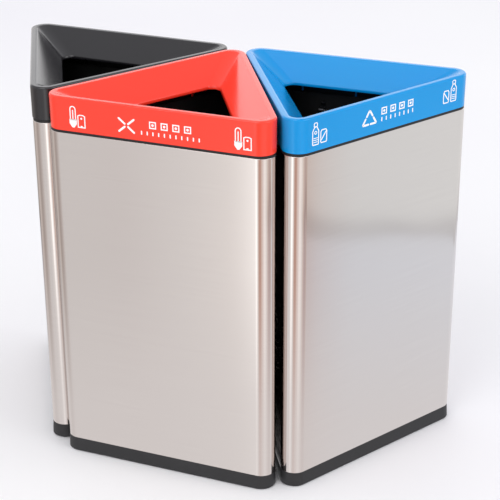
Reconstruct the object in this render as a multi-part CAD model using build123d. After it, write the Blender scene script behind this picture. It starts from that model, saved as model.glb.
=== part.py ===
from build123d import *
from math import cos, radians, sin, sqrt
import os

os.makedirs("parts", exist_ok=True)

# A station of three equal sorting bins. Each bin is a triangular prism that stands by itself, and
# the three stand in a fan, point to the back in the middle and turned outwards at the sides.
# One bin is modelled about its own centre, with its lettering face towards -Y and a corner
# towards +Y, and is then placed three times.

# ---- driving sizes of one bin, in millimetres
FACE_WIDTH = 455.0          # a flat face, measured between the sharp corners of the triangle
CORNER_RADIUS = 26.0        # outside radius of the sheet's bent corners
SHELL_HEIGHT = 614.0        # the stainless sheet, edge to edge
SHELL_SHEET = 1.0           # sheet thickness
PLINTH_HEIGHT = 28.5        # floor to the bottom edge of the sheet
FRAME_FLANGE = 4.5          # dark line between the sheet and the lid
LID_HEIGHT = 60.7           # lid wall, from its seat to the rim
LID_OVERHANG = 0.8          # the lid wall stands out this far past the sheet, at its seat
LID_FLARE = 0.5             # and leans out by this much more over its height
LID_CORNER_RADIUS = 28.0    # outside radius of the lid's corners, at the seat

# ---- how the bins stand together
BIN_GAP = 6.5               # between two bins, at the middle of their faces
FAN_SPLAY = 1.0             # degrees that each side bin is turned beyond 60

# ---- fits between pieces
SEAT_GAP = 0.3              # under the lid and under the bucket
RUNNING_FIT = 0.05          # handle rod in its bracket, on the radius
LID_SIDE_PLAY = 0.85        # locating ribs inside the top frame
RIM_SIDE_PLAY = 5.35        # bucket rim inside the top frame

# ---- base plinth, feet and their screws
PLINTH_FLARE = 1.0          # the skirt stands out this far at the floor
PLINTH_RECESS = 0.3         # and is this far inside the sheet at its top
PLINTH_WALL = 3.0
PLINTH_FLOOR_LEVEL = 13.0   # top of the floor panel that the bucket stands on
PLINTH_FLOOR = 3.0
SPIGOT_HEIGHT = 15.0        # stands up inside the sheet
PLINTH_RIB = 3.0
SKIRT_LIFT = 1.5            # the skirt's lower edge is clear of the floor
FOOT_RADIUS = 15.0
FOOT_HEIGHT = 5.0
FOOT_CORNER_DISTANCE = 34.0 # foot centre, in from where the corner is rounded
SCREW_SHANK_RADIUS = 2.0
SCREW_HEAD_RADIUS = 4.0
SCREW_HEAD_HEIGHT = 1.7
SCREW_RECESS_RADIUS = 5.0
SCREW_RECESS_DEPTH = 2.5
SCREW_LENGTH = 8.0
SCREW_SLOT = 0.9            # width of the driver slot
SCREW_SLOT_DEPTH = 0.8
SCREW_HEAD_ROUNDING = 0.6
FOOT_CHAMFER = 0.8

# ---- shell seam
SEAM_GAP = 0.5              # where the two ends of the sheet meet
SEAM_OFFSET = 90.0          # along the face, from its middle towards the back corner
SEAM_STRIP_WIDTH = 26.0
SEAM_STRIP_SHEET = 0.8
SEAM_STRIP_END_GAP = 2.5    # below the top frame and above the spigot
EDGE_BREAK = 0.7            # rounding of the sheet's cut edges

# ---- top frame
FRAME_WALL = 3.0
FRAME_DEPTH = 30.0          # down inside the sheet
FRAME_RECESS = 0.5          # the flange is this far inside the sheet's face

# ---- lid
LID_WALL = 3.0
LID_RIM = 11.0              # rim width, from the outside to the edge of the funnel
LID_RIM_ROUNDING = 3.6      # outer edge of the rim
FUNNEL_ROUNDING = 5.0       # where the rim turns down into the funnel
MOUTH_WIDTH = 263.0         # throw-in opening, between sharp corners, at the foot of the funnel
MOUTH_CORNER_RADIUS = 16.0
MOUTH_DEPTH = 42.0          # below the rim
MOUTH_LIP = 5.2             # short wall below the funnel
MOUTH_LIP_TAPER = 1.7       # that wall leans inwards by this much
LID_RIB_PITCH = 105.0
LID_RIB_WIDTH = 3.0
LID_RIB_DEPTH = 3.0
LID_RIB_REACH = 16.0        # below the lid's seat

# ---- inner bucket
BUCKET_WALL = 2.5
BUCKET_FLOOR = 3.0
BUCKET_RIM_OVERHANG = 3.0
BUCKET_RIM_DROP = 9.0
BUCKET_RIM_SHEET = 1.8
BUCKET_TOP_DROP = 11.0      # rim below the top of the frame
BUCKET_BAND = 80.0          # upright band below the rim
BUCKET_SHOULDER = 2.0       # step in below the band
BUCKET_TAPER = 8.0          # each wall leans in by this much down to the floor
BUCKET_CORNER_RADIUS = 15.0
BUCKET_RIM_ROUNDING = 1.2

# ---- drop handles
ROD_RADIUS = 3.0
HANDLE_WIDTH = 96.0
HANDLE_DROP = 46.0
HANDLE_BEND = 9.0
HANDLE_PIN_REACH = 18.0     # rod end, beyond the leg's centre line
HANDLE_BELOW_RIM = 30.0     # pin axis below the bucket's rim
PIN_WALL_DISTANCE = 8.0     # pin axis from the bucket's inner face
BRACKET_PLATE = 2.0
BRACKET_LENGTH = 9.0        # along the pin
BRACKET_HEIGHT = 32.0
BRACKET_EYE_WALL = 2.2
RIVET_RADIUS = 2.0
RIVET_HEAD_RADIUS = 3.6
RIVET_HEAD_HEIGHT = 1.5
RIVET_SPACING = 22.0

# ---- levels and insets that follow
INRADIUS = FACE_WIDTH / (2 * sqrt(3))
SHELL_TOP = PLINTH_HEIGHT + SHELL_HEIGHT
FRAME_TOP = SHELL_TOP + FRAME_FLANGE
LID_SEAT = FRAME_TOP + SEAT_GAP
LID_TOP = LID_SEAT + LID_HEIGHT
LID_TOP_INSET = -(LID_OVERHANG + LID_FLARE)
FRAME_INSET = SHELL_SHEET + FRAME_WALL
BUCKET_INSET = FRAME_INSET + RIM_SIDE_PLAY + BUCKET_RIM_OVERHANG
BUCKET_BASE = PLINTH_FLOOR_LEVEL + SEAT_GAP
BUCKET_TOP = FRAME_TOP - BUCKET_TOP_DROP
BAND_FOOT = BUCKET_TOP - BUCKET_BAND
PIN_LEVEL = BUCKET_TOP - HANDLE_BELOW_RIM
PIN_INSET = BUCKET_INSET + BUCKET_WALL + PIN_WALL_DISTANCE
MOUTH_INSET = INRADIUS - MOUTH_WIDTH / (2 * sqrt(3))
FOOT_DISTANCE = 2 * (INRADIUS - CORNER_RADIUS) - FOOT_CORNER_DISTANCE + CORNER_RADIUS

# the three faces of a bin, as a turn from +Y to the face's outward direction
FRONT_FACE, RIGHT_FACE, LEFT_FACE = 180.0, -60.0, 60.0


def outline(inset, level, radius=None):
    """Rounded triangle, moved in from the sheet's outside face by inset, at a height."""
    if radius is None:
        radius = CORNER_RADIUS - inset
    triangle = RegularPolygon(2 * (INRADIUS - inset), 3, rotation=90)
    return Pos(0, 0, level) * fillet(triangle.vertices(), radius)


def prism(inset, bottom, top, radius=None):
    return extrude(outline(inset, bottom, radius), top - bottom)


def taper(low_inset, bottom, high_inset, top, low_radius=None, high_radius=None):
    low = outline(low_inset, bottom, low_radius)
    high = outline(high_inset, top, high_radius)
    return loft([low.face(), high.face()], ruled=True)


def block(width, depth, height, x, y, bottom):
    return Pos(x, y, bottom + height / 2) * Box(width, depth, height)


def on_face(turn, shape):
    """Move a shape made on a face that looks along +Y to another face of the bin."""
    return Rot(0, 0, turn) * shape


def round_rim(shape, side, radius, hole=False):
    """Round the outer edge, or the hole's edge, of a shape's top (1) or bottom (-1) face."""
    flat = shape.faces().filter_by(Axis.Z).sort_by(Axis.Z)[-1 if side > 0 else 0]
    loop = flat.inner_wires()[0] if hole else flat.outer_wire()
    return fillet(loop.edges(), radius)


def lid_outline_radius(inset):
    """The lid's corners are rounded about their own centres, further out than the sheet's."""
    return LID_CORNER_RADIUS - LID_OVERHANG - inset


# ---------------------------------------------------------------- pieces of one bin

def shell():
    """Stainless sheet folded round into a triangle, open at both ends, with one upright seam."""
    tube = prism(0, PLINTH_HEIGHT, SHELL_TOP)
    for side in (1, -1):
        tube = round_rim(tube, side, EDGE_BREAK)
    tube -= prism(SHELL_SHEET, PLINTH_HEIGHT - 1, SHELL_TOP + 1)
    slot = block(SEAM_GAP, 4 * SHELL_SHEET, SHELL_HEIGHT + 2, SEAM_OFFSET, INRADIUS, PLINTH_HEIGHT - 1)
    return tube - on_face(LEFT_FACE, slot)


def seam_strip():
    """Backing strip welded over the seam inside the shell."""
    bottom = PLINTH_HEIGHT + SPIGOT_HEIGHT + SEAM_STRIP_END_GAP
    top = SHELL_TOP - FRAME_DEPTH - SEAM_STRIP_END_GAP
    inner_face = INRADIUS - SHELL_SHEET
    strip = block(SEAM_STRIP_WIDTH, SEAM_STRIP_SHEET, top - bottom,
                  SEAM_OFFSET, inner_face - SEAM_STRIP_SHEET / 2, bottom)
    return on_face(LEFT_FACE, strip)


def foot_places():
    return [Rot(0, 0, 120 * k) * Pos(0, FOOT_DISTANCE, 0) for k in range(3)]


def plinth():
    """Moulded base: skirt, floor panel, spigot that locates the shell, ribs and foot bosses."""
    panel_bottom = PLINTH_FLOOR_LEVEL - PLINTH_FLOOR
    spigot_top = PLINTH_HEIGHT + SPIGOT_HEIGHT
    inner_inset = SHELL_SHEET + PLINTH_WALL
    body = taper(-PLINTH_FLARE, SKIRT_LIFT, PLINTH_RECESS, PLINTH_HEIGHT)
    body += prism(SHELL_SHEET, PLINTH_HEIGHT, spigot_top)
    body -= prism(inner_inset, PLINTH_FLOOR_LEVEL, spigot_top + 1)
    body -= prism(PLINTH_WALL, SKIRT_LIFT - 1, panel_bottom)
    rib_length = INRADIUS - PLINTH_WALL
    for k in range(3):
        rib = block(PLINTH_RIB, rib_length, panel_bottom - FOOT_HEIGHT, 0, rib_length / 2, FOOT_HEIGHT)
        body += Rot(0, 0, 60 + 120 * k) * rib
    for place in foot_places():
        boss_height = panel_bottom - FOOT_HEIGHT
        boss = Pos(0, 0, FOOT_HEIGHT + boss_height / 2) * Cylinder(FOOT_RADIUS, boss_height)
        screw_top = SCREW_RECESS_DEPTH + SCREW_LENGTH
        pilot = Pos(0, 0, (FOOT_HEIGHT + screw_top) / 2)
        pilot *= Cylinder(SCREW_SHANK_RADIUS, screw_top - FOOT_HEIGHT)
        body += place * boss
        body -= place * pilot
    return body


def feet():
    """Three rubber feet, each with a hole and a recess for its screw."""
    group = []
    for place in foot_places():
        foot = Pos(0, 0, FOOT_HEIGHT / 2) * Cylinder(FOOT_RADIUS, FOOT_HEIGHT)
        foot = chamfer(foot.edges().group_by(Axis.Z)[0], FOOT_CHAMFER)
        foot -= Pos(0, 0, SCREW_RECESS_DEPTH / 2) * Cylinder(SCREW_RECESS_RADIUS, SCREW_RECESS_DEPTH)
        foot -= Pos(0, 0, FOOT_HEIGHT / 2) * Cylinder(SCREW_SHANK_RADIUS, FOOT_HEIGHT)
        group.append(place * foot)
    return group


def foot_screws():
    """Pan head screws, up through each foot into its boss."""
    group = []
    for place in foot_places():
        head_bottom = SCREW_RECESS_DEPTH - SCREW_HEAD_HEIGHT
        head = Pos(0, 0, head_bottom + SCREW_HEAD_HEIGHT / 2)
        head *= Cylinder(SCREW_HEAD_RADIUS, SCREW_HEAD_HEIGHT)
        head = fillet(head.edges().group_by(Axis.Z)[0], SCREW_HEAD_ROUNDING)
        head -= block(2 * SCREW_HEAD_RADIUS + 1, SCREW_SLOT, SCREW_SLOT_DEPTH, 0, 0, head_bottom)
        shank = Pos(0, 0, SCREW_RECESS_DEPTH + SCREW_LENGTH / 2)
        shank *= Cylinder(SCREW_SHANK_RADIUS, SCREW_LENGTH)
        group.append(place * (head + shank))
    return group


def top_frame():
    """Moulded ring pressed into the top of the shell; its flange covers the sheet's edge."""
    frame = prism(SHELL_SHEET, SHELL_TOP - FRAME_DEPTH, SHELL_TOP)
    frame += prism(FRAME_RECESS, SHELL_TOP, FRAME_TOP)
    return frame - prism(FRAME_INSET, SHELL_TOP - FRAME_DEPTH - 1, FRAME_TOP + 1)


def lid_wall(low_inset, bottom, high_inset, top):
    return taper(low_inset, bottom, high_inset, top,
                 lid_outline_radius(low_inset), lid_outline_radius(high_inset))


def lid():
    """Moulded lid: outer wall, rounded rim, funnel down to the mouth, and a short lip."""
    lip_top = LID_TOP - MOUTH_DEPTH
    lip_bottom = lip_top - MOUTH_LIP
    rim_inset = LID_RIM + LID_TOP_INSET
    rim_radius = lid_outline_radius(rim_inset)
    slope_wall = LID_WALL * sqrt(1 + ((MOUTH_INSET - rim_inset) / MOUTH_DEPTH) ** 2)
    body = lid_wall(-LID_OVERHANG, LID_SEAT, LID_TOP_INSET, LID_TOP)
    funnel = taper(MOUTH_INSET, lip_top, rim_inset, LID_TOP, MOUTH_CORNER_RADIUS, rim_radius)
    throat = taper(MOUTH_INSET + MOUTH_LIP_TAPER, lip_bottom, MOUTH_INSET, lip_top,
                   MOUTH_CORNER_RADIUS, MOUTH_CORNER_RADIUS)
    hollow = lid_wall(LID_WALL - LID_OVERHANG, LID_SEAT - 1, LID_WALL + LID_TOP_INSET, LID_TOP - LID_WALL)
    funnel_back = taper(MOUTH_INSET - slope_wall, lip_top, rim_inset - slope_wall, LID_TOP,
                        MOUTH_CORNER_RADIUS + slope_wall, rim_radius + slope_wall)
    lip_back = taper(MOUTH_INSET + MOUTH_LIP_TAPER - LID_WALL, lip_bottom,
                     MOUTH_INSET - slope_wall, lip_top,
                     MOUTH_CORNER_RADIUS + LID_WALL, MOUTH_CORNER_RADIUS + slope_wall)
    body -= hollow - funnel_back - lip_back
    body -= funnel
    body -= throat
    body = round_rim(body, 1, LID_RIM_ROUNDING)
    return round_rim(body, 1, FUNNEL_ROUNDING, hole=True)


def lid_ribs():
    """Upright ribs inside the lid wall; their ends drop into the top frame and centre the lid."""
    rib_face = INRADIUS - FRAME_INSET - LID_SIDE_PLAY
    wall_face = INRADIUS - LID_WALL / 2
    top = LID_TOP - 2 * LID_WALL
    ribs = []
    for turn in (FRONT_FACE, RIGHT_FACE, LEFT_FACE):
        for step in (-1, 0, 1):
            x = step * LID_RIB_PITCH
            hanging = block(LID_RIB_WIDTH, LID_RIB_DEPTH, top - LID_SEAT + LID_RIB_REACH,
                            x, rib_face - LID_RIB_DEPTH / 2, LID_SEAT - LID_RIB_REACH)
            web = block(LID_RIB_WIDTH, wall_face - rib_face + 1, top - LID_SEAT,
                        x, (wall_face + rib_face - 1) / 2, LID_SEAT)
            ribs.append(on_face(turn, hanging + web))
    return ribs


def whole_lid():
    body = lid()
    for rib in lid_ribs():
        body += rib
    return body


def bucket():
    """Inner bucket: floor, leaning walls, shoulder, upright band and turned-down rim."""
    foot_inset = BUCKET_INSET + BUCKET_SHOULDER + BUCKET_TAPER
    shoulder_inset = BUCKET_INSET + BUCKET_SHOULDER
    r = BUCKET_CORNER_RADIUS
    inner_r = r - BUCKET_WALL
    body = taper(foot_inset, BUCKET_BASE, shoulder_inset, BAND_FOOT, r, r)
    body += prism(BUCKET_INSET, BAND_FOOT, BUCKET_TOP, r)
    body += prism(BUCKET_INSET - BUCKET_RIM_OVERHANG, BUCKET_TOP - BUCKET_RIM_DROP, BUCKET_TOP,
                  r + BUCKET_RIM_OVERHANG)
    body = round_rim(body, 1, BUCKET_RIM_ROUNDING)
    groove = prism(BUCKET_INSET - BUCKET_RIM_OVERHANG + BUCKET_RIM_SHEET,
                   BUCKET_TOP - BUCKET_RIM_DROP - 1, BUCKET_TOP - BUCKET_RIM_SHEET,
                   r + BUCKET_RIM_OVERHANG - BUCKET_RIM_SHEET)
    body -= groove - prism(BUCKET_INSET, BAND_FOOT, BUCKET_TOP, r)
    body -= taper(foot_inset + BUCKET_WALL, BUCKET_BASE + BUCKET_FLOOR,
                  shoulder_inset + BUCKET_WALL, BAND_FOOT + BUCKET_WALL, inner_r, inner_r)
    body -= prism(BUCKET_INSET + BUCKET_WALL, BAND_FOOT + BUCKET_WALL, BUCKET_TOP + 1, inner_r)
    for hole in rivet_shapes(RIVET_RADIUS, BUCKET_WALL + 2, 0):
        body -= hole
    return body


def pin_axis_y():
    return INRADIUS - PIN_INSET


def handle(turn):
    """Drop handle: one bent rod that hangs against the bucket's wall."""
    half = HANDLE_WIDTH / 2
    end = half + HANDLE_PIN_REACH
    path = FilletPolyline((-end, 0, 0), (-half, 0, 0), (-half, 0, -HANDLE_DROP),
                          (half, 0, -HANDLE_DROP), (half, 0, 0), (end, 0, 0), radius=HANDLE_BEND)
    rod = sweep(Plane((-end, 0, 0), z_dir=(1, 0, 0)) * Circle(ROD_RADIUS), path=path)
    return on_face(turn, Pos(0, pin_axis_y(), PIN_LEVEL) * rod)


def bracket_places():
    """Middle of each bracket along the pin axis, as (face turn, x)."""
    x = HANDLE_WIDTH / 2 + HANDLE_PIN_REACH - BRACKET_LENGTH / 2
    return [(turn, side * x) for turn in (RIGHT_FACE, LEFT_FACE) for side in (-1, 1)]


def handle_brackets():
    """Pressed brackets on the bucket's inner face, each with an eye round the handle's pin."""
    wall_y = pin_axis_y() + PIN_WALL_DISTANCE
    eye_radius = ROD_RADIUS + BRACKET_EYE_WALL
    group = []
    for turn, x in bracket_places():
        plate = block(BRACKET_LENGTH, BRACKET_PLATE, BRACKET_HEIGHT,
                      x, wall_y - BRACKET_PLATE / 2, PIN_LEVEL - BRACKET_HEIGHT / 2)
        neck = block(BRACKET_LENGTH, PIN_WALL_DISTANCE - BRACKET_PLATE / 2, 2 * eye_radius - 1,
                     x, wall_y - (PIN_WALL_DISTANCE + BRACKET_PLATE / 2) / 2, PIN_LEVEL - eye_radius + 0.5)
        eye = Pos(x, pin_axis_y(), PIN_LEVEL) * Rot(0, 90, 0) * Cylinder(eye_radius, BRACKET_LENGTH)
        bore = Pos(x, pin_axis_y(), PIN_LEVEL) * Rot(0, 90, 0)
        bore *= Cylinder(ROD_RADIUS + RUNNING_FIT, BRACKET_LENGTH + 2)
        bracket = plate + neck + eye - bore
        for side in (-1, 1):
            hole = Pos(x, wall_y, PIN_LEVEL + side * RIVET_SPACING / 2) * Rot(90, 0, 0)
            bracket -= hole * Cylinder(RIVET_RADIUS, 4 * BRACKET_PLATE)
        group.append(on_face(turn, bracket))
    return group


def rivet_shapes(radius, length, head_height):
    """Rivet bodies, or the holes for them, at every bracket."""
    shapes = []
    middle = pin_axis_y() + PIN_WALL_DISTANCE + (BUCKET_WALL - BRACKET_PLATE) / 2
    for turn, x in bracket_places():
        for side in (-1, 1):
            place = Pos(x, middle, PIN_LEVEL + side * RIVET_SPACING / 2) * Rot(90, 0, 0)
            shape = Cylinder(radius, length)
            if head_height:
                for end in (-1, 1):
                    head = Cylinder(RIVET_HEAD_RADIUS, head_height)
                    outer_rim = head.edges().group_by(Axis.Z)[-1 if end > 0 else 0]
                    head = fillet(outer_rim, head_height * 0.7)
                    shape += Pos(0, 0, end * (length + head_height) / 2) * head
            shapes.append(on_face(turn, place * shape))
    return shapes


def handle_rivets():
    """Two rivets through each bracket and the bucket's wall."""
    return rivet_shapes(RIVET_RADIUS, BRACKET_PLATE + BUCKET_WALL, RIVET_HEAD_HEIGHT)


# ---------------------------------------------------------------- the three bins

def bin_places():
    """Where each bin's centre stands and how it is turned, before the station is centred."""
    places = {"middle": Location((0, 0, 0))}
    for name, side in (("left", -1), ("right", 1)):
        across = radians(90 - side * 60)
        meeting = INRADIUS + BIN_GAP
        swung = across + side * radians(FAN_SPLAY)
        x = meeting * cos(across) + INRADIUS * cos(swung)
        y = meeting * sin(across) + INRADIUS * sin(swung)
        places[name] = Location((x, y, 0), (0, 0, side * (60 + FAN_SPLAY)))
    rim = outline(LID_TOP_INSET, 0, lid_outline_radius(LID_TOP_INSET)).face()
    footprint = Compound([place * rim for place in places.values()])
    centre = footprint.bounding_box().center()
    return {name: Pos(-centre.X, -centre.Y, 0) * place for name, place in places.items()}


def write(name, shape, place):
    solids = shape if isinstance(shape, list) else [shape]
    placed = [place * solid for solid in solids]
    export_step(placed[0] if len(placed) == 1 else Compound(placed), f"parts/{name}.step")


pieces = {
    "shell": shell(),
    "seam_strip": seam_strip(),
    "plinth": plinth(),
    "feet": feet(),
    "foot_screws": foot_screws(),
    "top_frame": top_frame(),
    "lid": whole_lid(),
    "bucket": bucket(),
    "handle_right": handle(RIGHT_FACE),
    "handle_left": handle(LEFT_FACE),
    "handle_brackets": handle_brackets(),
    "handle_rivets": handle_rivets(),
}

for bin_name, place in bin_places().items():
    for piece_name, piece in pieces.items():
        write(f"{bin_name}_{piece_name}", piece, place)
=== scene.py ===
import bmesh
import bpy
from math import atan2, cos, degrees, radians, sin, sqrt, tan
from mathutils import Matrix, Vector


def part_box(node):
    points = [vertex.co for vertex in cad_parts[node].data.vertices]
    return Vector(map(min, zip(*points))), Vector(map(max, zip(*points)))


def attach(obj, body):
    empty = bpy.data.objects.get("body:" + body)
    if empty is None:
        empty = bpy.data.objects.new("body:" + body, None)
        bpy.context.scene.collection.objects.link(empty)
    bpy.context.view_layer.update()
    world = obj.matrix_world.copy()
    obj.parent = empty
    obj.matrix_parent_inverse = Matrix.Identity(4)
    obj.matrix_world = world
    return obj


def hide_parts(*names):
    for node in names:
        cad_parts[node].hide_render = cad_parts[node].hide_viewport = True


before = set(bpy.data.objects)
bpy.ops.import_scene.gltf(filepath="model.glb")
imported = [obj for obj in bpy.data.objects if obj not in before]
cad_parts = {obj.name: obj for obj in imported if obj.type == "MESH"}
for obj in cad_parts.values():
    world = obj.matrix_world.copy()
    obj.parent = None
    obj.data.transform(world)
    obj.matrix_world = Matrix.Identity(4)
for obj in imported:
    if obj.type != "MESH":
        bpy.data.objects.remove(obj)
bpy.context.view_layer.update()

# ------------------------------------------------------------------ camera
# A long lens, a little above the lids, looking down at the corner where the
# middle bin and the right bin meet.
camera_data = bpy.data.cameras.new("camera")
camera_data.lens = 106.39
camera_data.sensor_width = 36.0
camera_data.clip_end = 200.0
camera = bpy.data.objects.new("camera", camera_data)
bpy.context.scene.collection.objects.link(camera)
camera.matrix_world = (
    Matrix.Translation((1.01879, -2.32053, 1.50534))
    @ Matrix.Rotation(radians(21.764), 4, "Z")
    @ Matrix.Rotation(radians(65.739), 4, "X")
    @ Matrix.Rotation(radians(-0.242), 4, "Z")
)
bpy.context.scene.camera = camera
bpy.context.scene.view_settings.view_transform = "Standard"

# ------------------------------------------------------------------ floor
# A seamless pale studio floor, painted matt, so wide that it fills the view.
MM = 0.001


def link(name, bm):
    """Turn a bmesh into an object at the origin."""
    mesh = bpy.data.meshes.new(name)
    bm.to_mesh(mesh)
    bm.free()
    piece = bpy.data.objects.new(name, mesh)
    bpy.context.scene.collection.objects.link(piece)
    return piece


def srgb(code):
    """Linear colour from an sRGB hex value."""
    channels = [int(code[i:i + 2], 16) / 255 for i in (1, 3, 5)]
    return [c / 12.92 if c <= 0.04045 else ((c + 0.055) / 1.055) ** 2.4 for c in channels] + [1.0]


def add(material, kind, inputs=None, **settings):
    """Add a shader node with its settings; an input is a value or another node's output."""
    shader = material.node_tree.nodes.new("ShaderNode" + kind)
    for name, value in settings.items():
        setattr(shader, name, value)
    for name, value in (inputs or {}).items():
        if isinstance(value, bpy.types.NodeSocket):
            material.node_tree.links.new(value, shader.inputs[name])
        else:
            shader.inputs[name].default_value = value
    return shader


def new_material(name):
    """An empty node material."""
    material = bpy.data.materials.new(name)
    material.use_nodes = True
    material.node_tree.nodes.clear()
    return material


def ramp(material, factor, *stops):
    """Colour ramp through (position, sRGB hex) stops."""
    shader = add(material, "ValToRGB", {"Fac": factor})
    elements = shader.color_ramp.elements
    while len(elements) < len(stops):
        elements.new(0.5)
    for element, (position, colour) in zip(elements, stops):
        element.position = position
        element.color = srgb(colour)
    return shader.outputs["Color"]


floor_bm = bmesh.new()
bmesh.ops.create_grid(floor_bm, x_segments=1, y_segments=1, size=40.0)
floor = link("studio_floor", floor_bm)

floor_paint = new_material("floor_paint_matt")
at = add(floor_paint, "TexCoord").outputs["Object"]
cloud = add(floor_paint, "TexNoise", {"Vector": at, "Scale": 0.6, "Detail": 1.0})
tint = ramp(floor_paint, cloud.outputs["Fac"], (0.3, "#F2F1F4"), (0.7, "#F8F8F8"))
surface = add(floor_paint, "BsdfPrincipled", {
    "Base Color": tint, "Roughness": 0.75, "Specular IOR Level": 0.1})
add(floor_paint, "OutputMaterial", {"Surface": surface.outputs["BSDF"]})
floor.data.materials.append(floor_paint)
# Polished surfaces see the light tent, which reaches below the floor, instead.
floor.visible_glossy = False

# ------------------------------------------------------------------ light
# An even white room with three large softboxes, one of them over the floor
# behind the bins.
world = bpy.data.worlds.new("white_room")
world.use_nodes = True
world.node_tree.nodes["Background"].inputs["Color"].default_value = srgb("#FBFBFF")
world.node_tree.nodes["Background"].inputs["Strength"].default_value = 0.87
bpy.context.scene.world = world


def softbox(name, place, aim, size, watts):
    """A square area lamp at a place, turned to a point."""
    lamp = bpy.data.lights.new(name, "AREA")
    lamp.shape = "SQUARE"
    lamp.size = size
    lamp.energy = watts
    holder = bpy.data.objects.new(name, lamp)
    bpy.context.scene.collection.objects.link(holder)
    holder.location = place
    holder.rotation_euler = (Vector(aim) - Vector(place)).to_track_quat("-Z", "Y").to_euler()


softbox("softbox_front", (-0.6, -3.2, 3.6), (0, 0, 0.3), 2.6, 46.0)
softbox("softbox_side", (3.4, -0.4, 3.0), (0, 0, 0.3), 2.4, 32.0)
softbox("softbox_back", (-2.0, 4.8, 3.0), (-1.4, 3.8, 0.0), 3.0, 22.0)


def only_glossy(piece):
    """Stage a piece that nothing but glossy surfaces can see."""
    for ray in ("camera", "diffuse", "transmission", "volume_scatter", "shadow"):
        setattr(piece, f"visible_{ray}", False)


# White cards that only glossy surfaces see: three low at the back, which give the
# funnels their pale sheen and the rims a bright line, and one overhead.
CARD_LIGHT = 1.7
CARD_DISTANCE = 3.2
CARD_LEVEL = 1.15
card_glow = new_material("card_white_lit")
at = add(card_glow, "TexCoord").outputs["Object"]
weave = add(card_glow, "TexNoise", {"Vector": at, "Scale": 3.0})
tone = ramp(card_glow, weave.outputs["Fac"], (0.3, "#F4F2F4"), (0.7, "#FFFFFF"))
lit = add(card_glow, "Emission", {"Color": tone, "Strength": CARD_LIGHT})
add(card_glow, "OutputMaterial", {"Surface": lit.outputs["Emission"]})
overhead = Matrix.Translation((-0.15, -0.5, 2.24)) @ Matrix.Diagonal((0.45, 0.6, 1.0, 1.0))
upright = (Matrix.Translation((CARD_DISTANCE, 0, CARD_LEVEL)) @ Matrix.Rotation(radians(-90), 4, "Y")
           @ Matrix.Diagonal((0.9, 1.1, 1.0, 1.0)))
for stand_name, stand in (
        ("overhead", overhead),
        ("left", Matrix.Rotation(radians(143), 4, "Z") @ upright),
        ("middle", Matrix.Rotation(radians(96), 4, "Z") @ upright),
        ("right", Matrix.Rotation(radians(62), 4, "Z") @ upright)):
    card_bm = bmesh.new()
    bmesh.ops.create_grid(card_bm, x_segments=1, y_segments=1, size=1.0, matrix=stand)
    card = link(f"white_card_{stand_name}", card_bm)
    card.data.materials.append(card_glow)
    only_glossy(card)

# A tent of white and dark panels stands round the bins, with the warm brown of
# a room between them. Only polished surfaces see it; it lights nothing.
TENT_RADIUS = 0.95
TENT_HEIGHT = 0.64
TENT_DEPTH = 0.6
tent_bm = bmesh.new()
bmesh.ops.create_cone(tent_bm, cap_ends=False, segments=128, radius1=TENT_RADIUS, radius2=TENT_RADIUS,
                      depth=TENT_HEIGHT + TENT_DEPTH,
                      matrix=Matrix.Translation((0, 0, (TENT_HEIGHT - TENT_DEPTH) / 2)))
bmesh.ops.reverse_faces(tent_bm, faces=tent_bm.faces)
tent = link("light_tent", tent_bm)
only_glossy(tent)

# Panels by their bearing in degrees, anticlockwise from +X, with the light each gives.
PANELS = (
    (-167, (0.72, 0.66, 0.63)), (-153, (0.50, 0.44, 0.41)), (-141, (0.62, 0.57, 0.55)),
    (-131, (0.79, 0.76, 0.75)), (-123, (0.84, 0.83, 0.83)), (-115, (0.84, 0.82, 0.82)),
    (-107, (0.92, 0.91, 0.91)), (-100, (1.03, 1.01, 1.00)), (-97, (1.23, 1.22, 1.21)),
    (-95, (1.65, 1.65, 1.65)), (-88, (1.65, 1.65, 1.65)), (-82, (1.15, 1.13, 1.12)),
    (-73, (0.68, 0.44, 0.36)), (-64, (0.68, 0.44, 0.36)), (-57, (0.95, 0.80, 0.74)),
    (-50, (1.00, 0.87, 0.86)), (-46, (1.22, 1.17, 1.14)), (-37, (1.22, 1.17, 1.14)),
    (-32, (1.05, 1.00, 0.98)), (-25, (0.90, 0.78, 0.72)), (-16, (0.67, 0.54, 0.52)),
    (-8, (0.70, 0.58, 0.53)), (-1, (0.80, 0.67, 0.62)), (1, (0.87, 0.85, 0.86)),
    (6, (0.92, 0.97, 1.01)), (22, (0.96, 1.01, 1.05)), (42, (0.97, 1.00, 1.04)),
    (54, (0.92, 0.93, 0.95)), (75, (0.56, 0.55, 0.55)), (130, (0.66, 0.63, 0.62)),
    (165, (0.52, 0.49, 0.47)))
BRIGHTEST = 1.7
panels = new_material("light_tent_panels")
spot = add(panels, "SeparateXYZ", {"Vector": add(panels, "TexCoord").outputs["Object"]})
bearing = add(panels, "Math", {0: spot.outputs["Y"], 1: spot.outputs["X"]}, operation="ARCTAN2")
turn = add(panels, "MapRange", {
    "Value": bearing.outputs["Value"], "From Min": -radians(180), "From Max": radians(180)})
glow = add(panels, "ValToRGB", {"Fac": turn.outputs["Result"]})
while len(glow.color_ramp.elements) < len(PANELS):
    glow.color_ramp.elements.new(1.0)
for element, (panel_bearing, light) in zip(glow.color_ramp.elements, PANELS):
    element.position = (panel_bearing + 180) / 360
    element.color = [channel / BRIGHTEST for channel in light] + [1.0]
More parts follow.
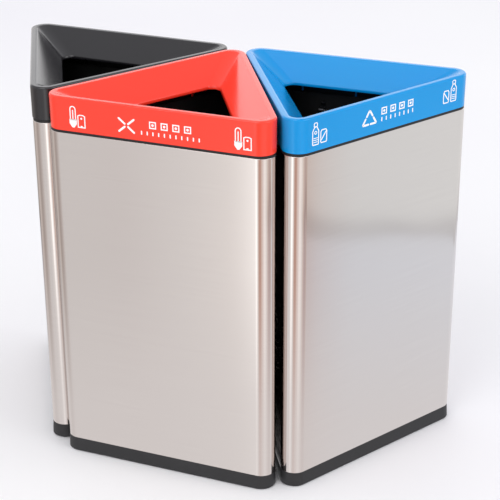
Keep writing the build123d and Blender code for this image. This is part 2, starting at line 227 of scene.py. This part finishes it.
# Cloth hangs in front of the panels on the right: warm above, then a shaded hem with
# cooler light below it. The hem waves, and slants down to the right.
sway = add(panels, "TexNoise", {"Vector": add(panels, "TexCoord").outputs["Object"], "Scale": 2.2})
slant = add(panels, "MapRange", {
    "Value": bearing.outputs["Value"], "From Min": radians(-1), "From Max": radians(21),
    "To Min": -0.07, "To Max": 0.03})
hung_level = add(panels, "Math", {0: spot.outputs["Z"], 1: slant.outputs["Result"]}, operation="ADD")
hem = add(panels, "Math", {
    0: sway.outputs["Fac"], 1: 0.5, 2: hung_level.outputs["Value"]}, operation="MULTIPLY_ADD")
cloth = ramp(panels, hem.outputs["Value"], (0.0, "#F9FAFF"), (0.434, "#F9FAFF"), (0.44, "#DEDCDC"),
             (0.49, "#E3E1E0"), (0.52, "#FDFCFA"), (1.0, "#FDFCFA"))
draped = add(panels, "MapRange", {
    "Value": bearing.outputs["Value"], "From Min": radians(-45), "From Max": radians(-15)})
hung = add(panels, "Mix", {"Factor": draped.outputs["Result"], "A": glow.outputs["Color"], "B": cloth},
           data_type="RGBA", blend_type="MULTIPLY")
# Towards the floor every panel pales into it, and the top edge fades out.
FLOOR_LIGHT = (0.93, 0.92, 0.93)
near_floor = add(panels, "MapRange", {
    "Value": spot.outputs["Z"], "From Min": 0.1, "From Max": -0.3, "To Min": 0.0, "To Max": 0.75})
paled = add(panels, "Mix", {
    "Factor": near_floor.outputs["Result"], "A": hung.outputs["Result"],
    "B": [channel / BRIGHTEST for channel in FLOOR_LIGHT] + [1.0]}, data_type="RGBA")
lamp_cloth = add(panels, "Emission", {"Color": paled.outputs["Result"], "Strength": BRIGHTEST})
clear = add(panels, "BsdfTransparent")
fade = add(panels, "MapRange", {
    "Value": spot.outputs["Z"], "From Min": 0.75 * TENT_HEIGHT, "From Max": TENT_HEIGHT})
shown = add(panels, "MixShader", {
    "Fac": fade.outputs["Result"], 1: lamp_cloth.outputs["Emission"], 2: clear.outputs["BSDF"]})
add(panels, "OutputMaterial", {"Surface": shown.outputs["Shader"]})
tent.data.materials.append(panels)

# ------------------------------------------------------------------ bins
# Three equal bins stand in a fan. Each is built about its own upright axis
# with a flat face towards -Y, then turned and moved to where its frame is.
FACE_WIDTH = 455.0 * MM
CORNER_RADIUS = 26.0 * MM
BIN_GAP = 6.5 * MM
FAN_SPLAY = radians(1.0)
CORNER_STEPS = 28
SIDES = {"left": -1, "middle": 0, "right": 1}

inradius = FACE_WIDTH / (2 * sqrt(3))
shell_low, shell_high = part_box("middle_shell")


def bin_place(name):
    """Turn about the bin's axis, then the move to where it stands."""
    side = SIDES[name]
    across = radians(90 - side * 60)
    swung = across + side * FAN_SPLAY
    x = abs(side) * ((inradius + BIN_GAP) * cos(across) + inradius * cos(swung))
    y = abs(side) * ((inradius + BIN_GAP) * sin(across) + inradius * sin(swung))
    turn = Matrix.Rotation(side * (radians(60) + FAN_SPLAY), 4, "Z")
    return Matrix.Translation((x, y + shell_low.y + inradius, 0)) @ turn


def ring(bm, inset, level, radius=None, seam=None):
    """One level of a wall: the rounded triangle, in from the sheet's face, or open at a seam."""
    radius = CORNER_RADIUS - inset if radius is None else radius
    reach = 2 * (inradius - inset - radius)
    around = bm.verts.layers.float.get("around") or bm.verts.layers.float.new("around")
    chain = []
    for corner in (1, 2, 0):
        turn = Matrix.Rotation(radians(120 * corner), 3, "Z")
        made = len(bm.verts)
        start = bm.verts.new(turn @ Vector((radius * cos(radians(30)), reach + radius / 2, level)))
        bmesh.ops.spin(bm, geom=[start], cent=turn @ Vector((0, reach, level)), axis=(0, 0, 1),
                       angle=radians(120), steps=CORNER_STEPS)
        bm.verts.ensure_lookup_table()
        chain += bm.verts[made:]
    if seam:
        face_turn = Matrix.Rotation(radians(60), 3, "Z")
        ends = [face_turn @ Vector((seam[0] + side * seam[1] / 2, inradius - inset, level))
                for side in (-1, 1)]
        chain = [bm.verts.new(ends[0])] + chain + [bm.verts.new(ends[1])]
    edges = []
    for a, b in zip(chain, chain[1:] + ([] if seam else chain[:1])):
        edges.append(bm.edges.get((a, b)) or bm.edges.new((a, b)))
    run = 0.0
    for a, b in zip(chain, chain[1:]):
        a[around] = run
        run += (b.co - a.co).length
    chain[-1][around] = run
    return edges


def skin(bm, rings, closed=True):
    """Cover a stack of rings with faces, each ring held well above the last while they join."""
    pairs = list(zip(rings, rings[1:])) + ([(rings[-1], rings[0])] if closed else [])
    for low, high in pairs:
        lifted = list({corner for edge in high for corner in edge.verts})
        bmesh.ops.translate(bm, vec=(0, 0, FACE_WIDTH), verts=lifted)
        bmesh.ops.bridge_loops(bm, edges=low + high)
        bmesh.ops.translate(bm, vec=(0, 0, -FACE_WIDTH), verts=lifted)


def lay_round(bm):
    """UV map whose U runs round the wall, from the length stored at each corner."""
    around = bm.verts.layers.float["around"]
    flat = bm.loops.layers.uv.new("round")
    for face in bm.faces:
        for corner in face.loops:
            corner[flat].uv = (corner.vert[around], corner.vert.co.z)


def finish_piece(name, bm, bin_name, body, cad_node, material):
    """Place a bin's piece, smooth it, hang it on its body, give it its finish, and hide the CAD node it
    replaces.
    """
    bmesh.ops.recalc_face_normals(bm, faces=bm.faces)
    bmesh.ops.transform(bm, matrix=bin_place(bin_name), verts=bm.verts)
    for face in bm.faces:
        face.smooth = True
    piece = link(name, bm)
    weighted = piece.modifiers.new("weighted", "WEIGHTED_NORMAL")
    weighted.keep_sharp = True
    weighted.weight = 100
    piece.data.materials.append(material)
    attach(piece, body)
    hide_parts(cad_node)


# ------------------------------------------------------------------ shells
# Grade 304 stainless sheet, 1 mm thick, folded round a press into a rounded
# triangle, brushed along its length before folding, with one upright seam.
SHEET = 1.0 * MM
EDGE_BREAK = 0.7 * MM
SEAM_GAP = 0.5 * MM
SEAM_OFFSET = 90.0 * MM

# Stainless steel, brushed: long fine scratches run round the body, so a light
# smears up and down, and stays narrow and crisp across the bent corners. The real
# scratches are about 0.1 mm apart; they are drawn coarser so that they show.
brushed_steel = new_material("stainless_steel_brushed")
at = add(brushed_steel, "TexCoord").outputs["Object"]
SCRATCH = 0.9 * MM
stretch = add(brushed_steel, "Mapping", {"Vector": at, "Scale": (6.0, 6.0, 1 / SCRATCH)})
scratches = add(brushed_steel, "TexNoise", {
    "Vector": stretch.outputs["Vector"], "Scale": 1.0, "Detail": 3.0, "Roughness": 0.7})
patches = add(brushed_steel, "TexNoise", {"Vector": at, "Scale": 5.0, "Detail": 2.0})
tone = add(brushed_steel, "Mix", {
    "Factor": scratches.outputs["Fac"], "A": srgb("#D3CBC8"), "B": srgb("#DCD5D1")}, data_type="RGBA")
polish = add(brushed_steel, "MapRange", {
    "Value": patches.outputs["Fac"], "From Min": 0.3, "From Max": 0.7, "To Min": 0.10, "To Max": 0.14})
relief = add(brushed_steel, "Bump", {
    "Height": scratches.outputs["Fac"], "Strength": 0.03, "Distance": 0.1 * MM})
grain = add(brushed_steel, "Tangent", direction_type="UV_MAP", uv_map="round")
surface = add(brushed_steel, "BsdfPrincipled", {
    "Base Color": tone.outputs["Result"], "Metallic": 1.0, "Roughness": polish.outputs["Result"],
    "Anisotropic": 0.45, "Anisotropic Rotation": 0.25,
    "Normal": relief.outputs["Normal"], "Tangent": grain.outputs["Tangent"]})
add(brushed_steel, "OutputMaterial", {"Surface": surface.outputs["BSDF"]})

low, high = shell_low.z, shell_high.z
broken = EDGE_BREAK * 0.3
for name in SIDES:
    bm = bmesh.new()
    skin(bm, [ring(bm, inset, level, seam=(SEAM_OFFSET, SEAM_GAP)) for inset, level in (
        (EDGE_BREAK, low), (broken, low + broken), (0.0, low + EDGE_BREAK),
        (0.0, high - EDGE_BREAK), (broken, high - broken), (EDGE_BREAK, high),
        (SHEET, high), (SHEET, low))])
    bmesh.ops.holes_fill(bm, edges=[edge for edge in bm.edges if edge.is_boundary])
    lay_round(bm)
    finish_piece(f"{name}_steel_shell", bm, name, f"{name}_bin", f"{name}_shell",
                 brushed_steel)

# ------------------------------------------------------------------ seam strips
# A strip of the same stainless, guillotined and spot welded behind the seam.

# Stainless steel with its mill finish: a cloudy satin.
mill_steel = new_material("stainless_steel_mill_finish")
at = add(mill_steel, "TexCoord").outputs["Object"]
clouds = add(mill_steel, "TexNoise", {"Vector": at, "Scale": 35.0, "Detail": 5.0})
tone = ramp(mill_steel, clouds.outputs["Fac"], (0.3, "#A9A4A0"), (0.7, "#BDB9B6"))
polish = add(mill_steel, "MapRange", {
    "Value": clouds.outputs["Fac"], "From Min": 0.3, "From Max": 0.7, "To Min": 0.3, "To Max": 0.42})
surface = add(mill_steel, "BsdfPrincipled", {
    "Base Color": tone, "Metallic": 1.0, "Roughness": polish.outputs["Result"]})
add(mill_steel, "OutputMaterial", {"Surface": surface.outputs["BSDF"]})

for name in SIDES:
    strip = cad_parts[f"{name}_seam_strip"]
    strip.data.materials.clear()
    strip.data.materials.append(mill_steel)

# ------------------------------------------------------------------ plinths
# Base tray injection moulded in black polypropylene: a skirt that flares to
# the floor, a floor panel, and a spigot that the shell is pushed over.
SKIRT_LIFT = 1.5 * MM
SKIRT_FLARE = 1.0 * MM
SKIRT_RECESS = 0.3 * MM
PLINTH_WALL = 3.0 * MM
PANEL_TOP = 13.0 * MM
PANEL_UNDER = 10.0 * MM
SPIGOT = 15.0 * MM
SMALL_ROUND = 0.8 * MM

# Polypropylene, spark-eroded mould grain: dull black with a soft broad sheen,
# in cloudy patches where shoes and mops have rubbed it. The grain's pits are
# really about 0.3 mm apart, and are drawn coarser.
black_moulding = new_material("polypropylene_black_grained")
at = add(black_moulding, "TexCoord").outputs["Object"]
GRAIN = 0.8 * MM
pits = add(black_moulding, "TexVoronoi", {"Vector": at, "Scale": 1 / GRAIN})
scuffs = add(black_moulding, "TexNoise", {"Vector": at, "Scale": 14.0, "Detail": 6.0})
tone = ramp(black_moulding, scuffs.outputs["Fac"], (0.35, "#1F1F21"), (0.75, "#2C2C2E"))
polish = add(black_moulding, "MapRange", {
    "Value": scuffs.outputs["Fac"], "From Min": 0.3, "From Max": 0.8, "To Min": 0.52, "To Max": 0.7})
relief = add(black_moulding, "Bump", {
    "Height": pits.outputs["Distance"], "Strength": 0.3, "Distance": 0.08 * MM})
surface = add(black_moulding, "BsdfPrincipled", {
    "Base Color": tone, "Roughness": polish.outputs["Result"], "IOR": 1.49,
    "Normal": relief.outputs["Normal"]})
add(black_moulding, "OutputMaterial", {"Surface": surface.outputs["BSDF"]})

top = shell_low.z
for name in SIDES:
    bm = bmesh.new()
    skirt = [ring(bm, inset, level) for inset, level in (
        (-SKIRT_FLARE + SMALL_ROUND, SKIRT_LIFT), (-SKIRT_FLARE, SKIRT_LIFT + SMALL_ROUND),
        (SKIRT_RECESS, top), (SHEET, top), (SHEET, top + SPIGOT),
        (SHEET + PLINTH_WALL, top + SPIGOT), (SHEET + PLINTH_WALL, PANEL_TOP))]
    skin(bm, skirt, closed=False)
    panel_edge = ring(bm, PLINTH_WALL, PANEL_UNDER)
    inner_foot = ring(bm, PLINTH_WALL, SKIRT_LIFT)
    skin(bm, [panel_edge, inner_foot, skirt[0]], closed=False)
    for edge_loop in (skirt[-1], panel_edge):
        bmesh.ops.contextual_create(bm, geom=edge_loop)
    finish_piece(f"{name}_plinth_tray", bm, name, f"{name}_bin", f"{name}_plinth",
                 black_moulding)

# ------------------------------------------------------------------ top frames
# Black polypropylene ring pressed into the top of the sheet. Its flange hides
# the cut edge and shows as the dark line under the lid.
FRAME_WALL = 3.0 * MM
FRAME_DEPTH = 30.0 * MM
FRAME_RECESS = 0.5 * MM
FRAME_ROUND = 0.5 * MM
frame_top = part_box("middle_top_frame")[1].z

# Polypropylene from a smoother tool, with a satin sheen in soft patches. It is painted blacker than the
# plinth's black, as painted shade under the lid's edge.
frame_moulding = new_material("polypropylene_black_satin_painted_shade")
at = add(frame_moulding, "TexCoord").outputs["Object"]
sheen = add(frame_moulding, "TexNoise", {"Vector": at, "Scale": 60.0, "Detail": 4.0})
# Painted shade: darker than the plinth's black polypropylene, standing in for the shade under the lid's
# overhang.
tone = ramp(frame_moulding, sheen.outputs["Fac"], (0.3, "#0C0C0D"), (0.7, "#161617"))
polish = add(frame_moulding, "MapRange", {
    "Value": sheen.outputs["Fac"], "From Min": 0.3, "From Max": 0.7, "To Min": 0.42, "To Max": 0.56})
surface = add(frame_moulding, "BsdfPrincipled", {
    "Base Color": tone, "Roughness": polish.outputs["Result"], "IOR": 1.49})
add(frame_moulding, "OutputMaterial", {"Surface": surface.outputs["BSDF"]})

top = shell_high.z
inner = SHEET + FRAME_WALL
for name in SIDES:
    bm = bmesh.new()
    skin(bm, [ring(bm, inset, level) for inset, level in (
        (SHEET, top - FRAME_DEPTH), (SHEET, top), (FRAME_RECESS, top),
        (FRAME_RECESS, frame_top - FRAME_ROUND), (FRAME_RECESS + FRAME_ROUND, frame_top),
        (inner - FRAME_ROUND, frame_top), (inner, frame_top - FRAME_ROUND), (inner, top - FRAME_DEPTH))])
    finish_piece(f"{name}_frame_ring", bm, name, f"{name}_bin", f"{name}_top_frame",
                 frame_moulding)

# ------------------------------------------------------------------ lids
# One-piece lids injection moulded in ABS, coloured in the mass: an upright
# wall, a rounded rim and a funnel that slopes down to the throw-in mouth.
LID_WALL = 3.0 * MM
LID_OVERHANG = 0.8 * MM
LID_FLARE = 0.5 * MM
LID_CORNER_RADIUS = 28.0 * MM
LID_SEAT_GAP = 0.3 * MM
LID_EDGE = 0.6 * MM
RIM_WIDTH = 11.0 * MM
RIM_ROUND = 3.6 * MM
FUNNEL_ROUND = 5.0 * MM
MOUTH_DEPTH = 42.0 * MM
MOUTH_WIDTH = 263.0 * MM
MOUTH_RADIUS = 16.0 * MM
LIP_DEPTH = 5.2 * MM
LIP_TAPER = 1.7 * MM
RIB_PITCH = 105.0 * MM
RIB_WIDTH = 3.0 * MM
RIB_REACH = 3.0 * MM
RIB_PLAY = 0.85 * MM
RIB_OVERLAP = 1.0 * MM
ARC_STEPS = 8
FUNNEL_STEPS = 6
lid_seat = frame_top + LID_SEAT_GAP
lid_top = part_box("middle_lid")[1].z
rib_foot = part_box("middle_lid")[0].z


def moulded_abs(name, deep, pale, roughness, shine):
    """ABS, moulded in a polished tool: even colour, a gloss with a faint ripple, and dust.

    The specks of dust are drawn about 1 mm across, coarser than they are.
    """
    material = new_material(name)
    at = add(material, "TexCoord").outputs["Object"]
    ripple = add(material, "TexNoise", {"Vector": at, "Scale": 24.0, "Detail": 1.0})
    specks = add(material, "TexNoise", {"Vector": at, "Scale": 900.0, "Detail": 2.0})
    flow = add(material, "TexNoise", {"Vector": at, "Scale": 4.0, "Detail": 2.0})
    tone = add(material, "Mix", {
        "Factor": flow.outputs["Fac"], "A": srgb(deep), "B": srgb(pale)}, data_type="RGBA")
    polish = add(material, "MapRange", {
        "Value": specks.outputs["Fac"], "From Min": 0.4, "From Max": 0.8,
        "To Min": roughness, "To Max": roughness + 0.12})
    relief = add(material, "Bump", {
        "Height": ripple.outputs["Fac"], "Strength": 0.2, "Distance": 0.3 * MM})
    surface = add(material, "BsdfPrincipled", {
        "Base Color": tone.outputs["Result"], "Roughness": polish.outputs["Result"], "IOR": 1.53,
        "Specular IOR Level": shine, "Normal": relief.outputs["Normal"]})
    add(material, "OutputMaterial", {"Surface": surface.outputs["BSDF"]})
    return material


lid_plastics = {
    "left": moulded_abs("abs_grey_moulded", "#1C1B1E", "#242326", 0.14, 0.55),
    "middle": moulded_abs("abs_red_moulded", "#FF3C29", "#FF442F", 0.1, 0.4),
    "right": moulded_abs("abs_blue_moulded", "#0193DA", "#0698DE", 0.1, 0.32),
}

top_inset = -(LID_OVERHANG + LID_FLARE)
rim_start = top_inset + LID_FLARE * RIM_ROUND / (lid_top - lid_seat)
rim_inset = RIM_WIDTH + top_inset
rim_radius = LID_CORNER_RADIUS - LID_OVERHANG - rim_inset
mouth_inset = inradius - MOUTH_WIDTH / (2 * sqrt(3))
fall = atan2(MOUTH_DEPTH, mouth_inset - rim_inset)
arc_inset = rim_inset - FUNNEL_ROUND * tan(fall / 2)
slope_wall = LID_WALL / sin(fall)
lip_top = lid_top - MOUTH_DEPTH
lip_bottom = lip_top - LIP_DEPTH
under = lid_top - LID_WALL
under_inset = rim_inset - slope_wall + (mouth_inset - rim_inset) * LID_WALL / MOUTH_DEPTH


def wall_ring(bm, inset, level):
    """A level of the lid's upright wall, which has its own corner radius."""
    return ring(bm, inset, level, LID_CORNER_RADIUS - LID_OVERHANG - inset)


def funnel_ring(bm, inset, level):
    """A level of the funnel, whose corners tighten from the rim to the mouth."""
    share = (lid_top - level) / MOUTH_DEPTH
    return ring(bm, inset, level, rim_radius + (MOUTH_RADIUS - rim_radius) * share)


def locating_ribs(bm):
    """Three ribs behind each wall, each with a tip that drops inside the top frame."""
    rib_out = inradius - LID_WALL / 2
    rib_in = inradius - SHEET - FRAME_WALL - RIB_PLAY - RIB_REACH
    rib_size = Vector((RIB_WIDTH, rib_out - rib_in, lid_top - 2 * LID_WALL - lid_seat))
    tip_size = Vector((RIB_WIDTH, RIB_REACH, lid_seat - rib_foot + RIB_OVERLAP))
    for face in range(3):
        for step in (-1, 0, 1):
            rib = Vector((step * RIB_PITCH, -(rib_out + rib_in) / 2, lid_seat + rib_size.z / 2))
            tip = Vector((step * RIB_PITCH, -(rib_in + RIB_REACH / 2), rib_foot + tip_size.z / 2))
            for spot, block in ((rib, rib_size), (tip, tip_size)):
                place = (Matrix.Rotation(radians(120 * face), 4, "Z") @ Matrix.Translation(spot)
                         @ Matrix.Diagonal((*block, 1.0)))
                bmesh.ops.create_cube(bm, size=1.0, matrix=place)


for name in SIDES:
    bm = bmesh.new()
    rings = [wall_ring(bm, LID_EDGE - LID_OVERHANG, lid_seat),
             wall_ring(bm, LID_EDGE * 0.3 - LID_OVERHANG, lid_seat + LID_EDGE * 0.3),
             wall_ring(bm, -LID_OVERHANG, lid_seat + LID_EDGE)]
    for k in range(ARC_STEPS + 1):
        angle = radians(90 * k / ARC_STEPS)
        rings.append(wall_ring(bm, rim_start + RIM_ROUND * (1 - cos(angle)),
                               lid_top - RIM_ROUND * (1 - sin(angle))))
    for k in range(ARC_STEPS + 1):
        angle = fall * k / ARC_STEPS
        rings.append(funnel_ring(bm, arc_inset + FUNNEL_ROUND * sin(angle),
                                 lid_top - FUNNEL_ROUND * (1 - cos(angle))))
    for k in range(1, FUNNEL_STEPS):
        share = k / FUNNEL_STEPS
        rings.append(funnel_ring(bm, rim_inset + (mouth_inset - rim_inset) * share,
                                 lid_top - MOUTH_DEPTH * share))
    for inset, level, radius in (
            (mouth_inset - LID_EDGE, lip_top + LID_EDGE, MOUTH_RADIUS),
            (mouth_inset + LID_EDGE / 4, lip_top - LID_EDGE, MOUTH_RADIUS),
            (mouth_inset + LIP_TAPER, lip_bottom, MOUTH_RADIUS),
            (mouth_inset + LIP_TAPER - LID_WALL, lip_bottom, MOUTH_RADIUS + LID_WALL),
            (mouth_inset - slope_wall, lip_top, MOUTH_RADIUS + slope_wall),
            (under_inset, under, rim_radius + slope_wall)):
        rings.append(ring(bm, inset, level, radius))
    rings.append(wall_ring(bm, LID_WALL + top_inset, under))
    rings.append(wall_ring(bm, LID_WALL - LID_OVERHANG, lid_seat))
    skin(bm, rings)
    locating_ribs(bm)
    finish_piece(f"{name}_lid_moulding", bm, name, f"{name}_lid", f"{name}_lid",
                 lid_plastics[name])

# ------------------------------------------------------------------ printed marks
# White two-part ink, screen printed on the lid's front wall: small pictures of
# what goes in, a sorting sign, and plain rows of bars and dots beside it.
INK = 0.12 * MM

# Epoxy ink, screen printed: the screen's mesh leaves faint marks, drawn coarser.
white_ink = new_material("epoxy_ink_white_printed")
at = add(white_ink, "TexCoord").outputs["Object"]
mesh_marks = add(white_ink, "TexNoise", {"Vector": at, "Scale": 1500.0, "Detail": 1.0})
tone = ramp(white_ink, mesh_marks.outputs["Fac"], (0.3, "#F4F2F0"), (0.7, "#FFFFFF"))
surface = add(white_ink, "BsdfPrincipled", {"Base Color": tone, "Roughness": 0.4})
add(white_ink, "OutputMaterial", {"Surface": surface.outputs["BSDF"]})


def flat_shape(bm, points, line=None):
    """A filled outline, or only its border line, in face millimetres."""
    corners = [bm.verts.new((x * MM, 0, z * MM)) for x, z in points]
    face = bmesh.ops.contextual_create(bm, geom=corners)["faces"][0]
    if line:
        bmesh.ops.inset_region(bm, faces=[face], thickness=line * MM, use_even_offset=True,
                               use_boundary=True)
        bmesh.ops.delete(bm, geom=[face], context="FACES")


def dot(bm, x, z, radius, line=None):
    """A round dot or a thin circle."""
    flat_shape(bm, [(x + radius * cos(radians(a)), z + radius * sin(radians(a)))
                    for a in range(0, 360, 20)], line)


def bar(bm, x1, z1, x2, z2, width):
    """A straight stroke with rounded ends, from one point to another."""
    lean = degrees(atan2(z2 - z1, x2 - x1))
    points = []
    for x, z, start in ((x2, z2, lean - 90), (x1, z1, lean + 90)):
        points += [(x + width / 2 * cos(radians(start + a)), z + width / 2 * sin(radians(start + a)))
                   for a in range(0, 181, 30)]
    flat_shape(bm, points)


def thermometer(bm, x, z):
    """Tube with a rounded top, a filled bulb below and a thread inside."""
    tube = [(x + 6 * cos(radians(a)), z + 33 + 6 * sin(radians(a))) for a in range(0, 181, 20)]
    flat_shape(bm, tube + [(x - 6, z + 13), (x + 6, z + 13)], 2.0)
    flat_shape(bm, [(x - 7, z + 15), (x - 7, z + 7), (x - 2, z), (x + 2, z), (x + 7, z + 7), (x + 7, z + 15)])
    bar(bm, x, z + 14, x, z + 31, 2.0)


def battery(bm, x, z):
    """Cell with a cap, and a dot for its pole."""
    flat_shape(bm, [(x - 7.5, z), (x + 7.5, z), (x + 7.5, z + 22), (x + 3, z + 24),
                    (x - 3, z + 24), (x - 7.5, z + 22)], 2.0)
    dot(bm, x, z + 17, 1.9)
    bar(bm, x - 1.2, z + 3, x + 1.2, z + 3, 2.0)


def bottle(bm, x, z):
    """Drinks bottle with a neck and a label."""
    flat_shape(bm, [(x - 6.5, z), (x + 6.5, z), (x + 7.5, z + 3), (x + 7.5, z + 25), (x + 3, z + 33),
                    (x - 3, z + 33), (x - 7.5, z + 25), (x - 7.5, z + 3)], 1.9)
    flat_shape(bm, [(x - 4, z + 32), (x + 4, z + 32), (x + 4.5, z + 38), (x + 2.5, z + 40),
                    (x - 2.5, z + 40), (x - 4.5, z + 38)], 1.7)
    dot(bm, x, z + 22, 3.2, 1.5)
    for level in (5.5, 9.0, 12.5):
        bar(bm, x - 4.5, z + level, x + 4.5, z + level, 1.3)


def can(bm, x, z, lean):
    """Drinks can with a slanted stripe."""
    flat_shape(bm, [(x - 6, z), (x + 6, z), (x + 7.5, z + 3), (x + 7.5, z + 20), (x + 5, z + 24),
                    (x - 5, z + 24), (x - 7.5, z + 20), (x - 7.5, z + 3)], 1.9)
    bar(bm, x - lean * 5, z + 6, x + lean * 5, z + 19, 2.0)


def line_of_squares(bm, first, pitch, foot):
    """Four framed squares, each with a dot, where larger lettering would stand."""
    for k in range(4):
        x = first + pitch * k
        flat_shape(bm, [(x - 6.5, foot), (x + 6.5, foot), (x + 6.5, foot + 13), (x - 6.5, foot + 13)], 2.2)
        dot(bm, x, foot + 6.5, 2.4)


def line_of_bars(bm, first, count, foot, head):
    """Short upright bars where smaller lettering would stand."""
    for k in range(count):
        x = first + 10.6 * k
        bar(bm, x, foot, x, head, 2.4)


def print_on(name, bm):
    """Give the flat print its thickness and lay it on the leaning front wall of a lid."""
    bmesh.ops.recalc_face_normals(bm, faces=bm.faces)
    for face in bm.faces:
        if face.normal.y > 0:
            face.normal_flip()
    bmesh.ops.solidify(bm, geom=bm.faces, thickness=INK)
    lean = LID_FLARE / (lid_top - lid_seat)
    wall = Matrix.Translation((0, -inradius - LID_OVERHANG, lid_seat))
    for vert in bm.verts:
        vert.co.y -= vert.co.z * lean + INK / 2
    bmesh.ops.transform(bm, matrix=bin_place(name) @ wall, verts=bm.verts)
    piece = link(f"{name}_lid_print", bm)
    piece.data.materials.append(white_ink)
    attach(piece, f"{name}_lid")


# The red lid: a thermometer and a battery at each end, and a cross of four strokes.
SIGN_STROKE = 3.6
CROSS = (-51, 24.5)
bm = bmesh.new()
thermometer(bm, -152.5, 8.0)
battery(bm, -136.5, 8.7)
for side_x in (-1, 1):
    for side_z in (-1, 1):
        bar(bm, CROSS[0] + side_x * 3.2, CROSS[1] + side_z * 2.6,
            CROSS[0] + side_x * 14, CROSS[1] + side_z * 11.5, SIGN_STROKE)
line_of_squares(bm, -2.0, 21.4, 24)
line_of_bars(bm, -23.0, 11, 12.6, 17.4)
thermometer(bm, 153.0, 8.0)
battery(bm, 169.5, 8.7)
print_on("middle", bm)

# The blue lid: a bottle and a can at each end, and a triangle of broken sides.
TRIANGLE = [(-60, 19.5), (-44, 44.5), (-28, 19.5)]
bm = bmesh.new()
bottle(bm, -166.5, 10.5)
can(bm, -148.5, 11.5, 1)
for (x1, z1), (x2, z2) in zip(TRIANGLE, TRIANGLE[1:] + TRIANGLE[:1]):
    for near, far in ((0.05, 0.42), (0.58, 0.95)):
        bar(bm, x1 + (x2 - x1) * near, z1 + (z2 - z1) * near,
            x1 + (x2 - x1) * far, z1 + (z2 - z1) * far, SIGN_STROKE)
line_of_squares(bm, -10.0, 21.2, 30.5)
line_of_bars(bm, -15.0, 8, 19.8, 25.2)
can(bm, 142.5, 16.5, -1)
bottle(bm, 161.0, 16.5)
print_on("right", bm)

# ------------------------------------------------------------------ buckets
# Liner buckets blow moulded in black polyethylene: leaning walls, a shoulder,
# an upright band and a turned-down rim to lift by.

# Polyethylene, blow moulded: waxy black, with a shallow orange-peel skin. The black is painted darker still,
# as painted shade for the dark inside of the bins.
black_liner_painted_shade = new_material("polyethylene_black_blow_moulded_painted_shade")
at = add(black_liner_painted_shade, "TexCoord").outputs["Object"]
PEEL = 6.0 * MM
peel = add(black_liner_painted_shade, "TexNoise", {"Vector": at, "Scale": 1 / PEEL, "Detail": 2.0})
film = add(black_liner_painted_shade, "TexNoise", {"Vector": at, "Scale": 9.0, "Detail": 5.0})
# Painted shade: these tones are darker than the plastic's own black, standing in for the shade inside the
# bin.
tone = ramp(black_liner_painted_shade, film.outputs["Fac"], (0.3, "#121213"), (0.7, "#1C1C1D"))
polish = add(black_liner_painted_shade, "MapRange", {
    "Value": film.outputs["Fac"], "From Min": 0.3, "From Max": 0.7, "To Min": 0.45, "To Max": 0.6})
relief = add(black_liner_painted_shade, "Bump", {
    "Height": peel.outputs["Fac"], "Strength": 0.25, "Distance": 0.3 * MM})
surface = add(black_liner_painted_shade, "BsdfPrincipled", {
    "Base Color": tone, "Roughness": polish.outputs["Result"], "IOR": 1.51,
    "Specular IOR Level": 0.4, "Normal": relief.outputs["Normal"]})
add(black_liner_painted_shade, "OutputMaterial", {"Surface": surface.outputs["BSDF"]})

for name in SIDES:
    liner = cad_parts[f"{name}_bucket"]
    liner.data.materials.clear()
    liner.data.materials.append(black_liner_painted_shade)

# ------------------------------------------------------------------ handles and fixings
# Drop handles bent from zinc-plated rod, pressed steel brackets, domed rivets,
# rubber feet and pan head screws.

# Steel, zinc plated and passivated, with the plating's small crystals. Its grey is painted far darker than
# plated zinc, as painted shade for the handles that hang inside the dark bins.
zinc = new_material("steel_zinc_plated_painted_shade")
at = add(zinc, "TexCoord").outputs["Object"]
crystals = add(zinc, "TexVoronoi", {"Vector": at, "Scale": 300.0})
# Painted shade: both tones are much darker than plated zinc, standing in for the shade inside the bins.
tone = ramp(zinc, crystals.outputs["Distance"], (0.2, "#35363A"), (0.8, "#4A4B4F"))
polish = add(zinc, "MapRange", {"Value": crystals.outputs["Distance"], "To Min": 0.28, "To Max": 0.42})
surface = add(zinc, "BsdfPrincipled", {
    "Base Color": tone, "Metallic": 1.0, "Roughness": polish.outputs["Result"]})
add(zinc, "OutputMaterial", {"Surface": surface.outputs["BSDF"]})

# Rubber, compression moulded: dull black with a pale bloom.
rubber = new_material("rubber_black_moulded")
at = add(rubber, "TexCoord").outputs["Object"]
bloom = add(rubber, "TexNoise", {"Vector": at, "Scale": 120.0, "Detail": 4.0})
tone = ramp(rubber, bloom.outputs["Fac"], (0.3, "#1B1B1C"), (0.7, "#2B2B2C"))
surface = add(rubber, "BsdfPrincipled", {"Base Color": tone, "Roughness": 0.8, "IOR": 1.52})
add(rubber, "OutputMaterial", {"Surface": surface.outputs["BSDF"]})

for name in SIDES:
    for part in ("handle_right", "handle_left", "handle_brackets", "handle_rivets", "foot_screws", "feet"):
        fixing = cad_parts[f"{name}_{part}"]
        fixing.data.materials.clear()
        fixing.data.materials.append(rubber if part == "feet" else zinc)
